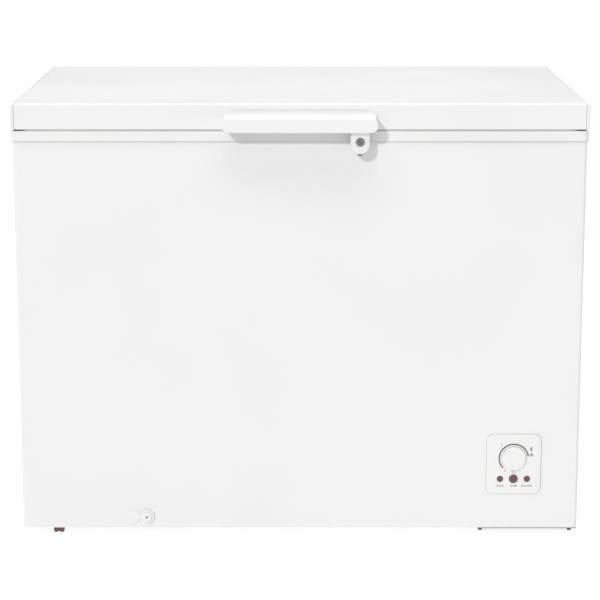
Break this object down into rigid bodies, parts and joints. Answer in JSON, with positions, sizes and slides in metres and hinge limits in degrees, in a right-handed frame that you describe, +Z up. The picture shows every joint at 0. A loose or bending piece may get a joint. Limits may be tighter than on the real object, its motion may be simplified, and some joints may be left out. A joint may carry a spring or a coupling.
{
  "type": "chest freezer",
  "caption": "White chest freezer with a hinged insulated lid, hollow bar handle, key lock, rotary thermostat, wire basket and a machine space at its right-hand end.",
  "frame": {"origin": "on the floor, under the middle of the object's bounding box", "axes": "+X to the right along the lid, seen from the front; -Y to the front; +Z up"},
  "size_m": [1.104, 0.775, 0.86],
  "materials": {
    "white_enamel": "satin white enamel on steel sheet",
    "white_plastic": "smooth white moulded plastic",
    "liner_aluminium": "bright stucco aluminium sheet",
    "foam": "rigid polyurethane foam",
    "galvanised": "galvanised sheet",
    "plated_steel": "zinc plated",
    "black_paint": "black paint",
    "copper": "bare copper",
    "steel_tube": "coated steel tube",
    "black_plastic": "black moulded plastic",
    "rubber": "black rubber",
    "grey_rubber": "pale soft seal",
    "dark_lens": "dark tinted lens",
    "board": "circuit board",
    "drain_hose": "pale plastic tube",
    "coated_wire": "white coated wire"
  },
  "bodies": {
    "cabinet": {"insulation_foam": "foam", "inner_liner": "liner_aluminium", "evaporator_coil": "copper", "condenser_coil": "steel_tube", "front_panel": "white_enamel", "side_panel_left": "white_enamel", "side_panel_right": "white_enamel", "rear_panel": "galvanised", "bottom_panel": "galvanised", "top_collar": "white_plastic", "lock_keeper": "galvanised", "compressor_tray": "black_paint", "tray_studs": "rubber", "compressor_bracket": "black_paint", "compressor_grommets": "rubber", "compressor_bolts": "plated_steel", "compressor_shell_lower": "black_paint", "compressor_shell_upper": "black_paint", "relay_cover": "black_plastic", "suction_pipe": "copper", "discharge_pipe": "copper", "filter_drier": "copper", "capillary_tube": "copper", "side_grille": "white_plastic", "rear_cover": "galvanised", "rear_cover_screws": "plated_steel", "cord_gland": "black_plastic", "feet": "black_plastic", "control_panel": "white_plastic", "indicator_lenses": "dark_lens", "indicator_board": "board", "thermostat_body": "black_plastic", "sensing_tube": "copper", "drain_tube": "drain_hose", "drain_rosette": "white_plastic", "hinge_bases": "plated_steel", "hinge_pins": "plated_steel", "hinge_springs": "plated_steel", "hinge_screws": "plated_steel"},
    "lid": {"lid_outer_skin": "white_enamel", "lid_end_cap_left": "white_plastic", "lid_end_cap_right": "white_plastic", "lid_inner_panel": "white_plastic", "lid_foam": "foam", "lid_gasket": "grey_rubber", "handle_bar": "white_plastic", "handle_screws": "plated_steel", "lock_housing": "white_plastic", "hinge_arms": "plated_steel", "hinge_arm_screws": "plated_steel"},
    "lock": {"lock_barrel": "plated_steel", "lock_cam": "plated_steel"},
    "thermostat": {"thermostat_shaft": "plated_steel", "thermostat_knob": "white_plastic"},
    "drain_outlet": {"drain_spout": "white_plastic"},
    "floor_plug": {"drain_plug": "grey_rubber"},
    "basket": {"basket_grids_long": "coated_wire", "basket_grids_short": "coated_wire", "basket_floor": "coated_wire"}
  },
  "joints": [
    {"name": "lid_hinge", "type": "hinge", "parent": "cabinet", "child": "lid", "pos_m": [0, 0.3785, 0.815], "axis": [-1, 0, 0], "range_deg": [0, 85], "stiffness_Nm_per_rad": 12, "springref_deg": 84.8},
    {"name": "lock_turn", "type": "hinge", "parent": "lid", "child": "lock", "pos_m": [0.114, -0.3635, 0.7903], "axis": [0, 1, 0], "range_deg": [0, 90]},
    {"name": "thermostat_turn", "type": "hinge", "parent": "cabinet", "child": "thermostat", "pos_m": [0.421, -0.3475, 0.16], "axis": [0, 1, 0], "range_deg": [0, 260]},
    {"name": "drain_pull", "type": "slide", "parent": "cabinet", "child": "drain_outlet", "axis": [0, -1, 0], "range_m": [0, 0.025]},
    {"name": "plug_lift", "type": "slide", "parent": "cabinet", "child": "floor_plug", "axis": [0, 0, 1], "range_m": [0, 0.02]},
    {"name": "basket_slide", "type": "slide", "parent": "cabinet", "child": "basket", "axis": [1, 0, 0], "range_m": [0, 0.62]}
  ]
}
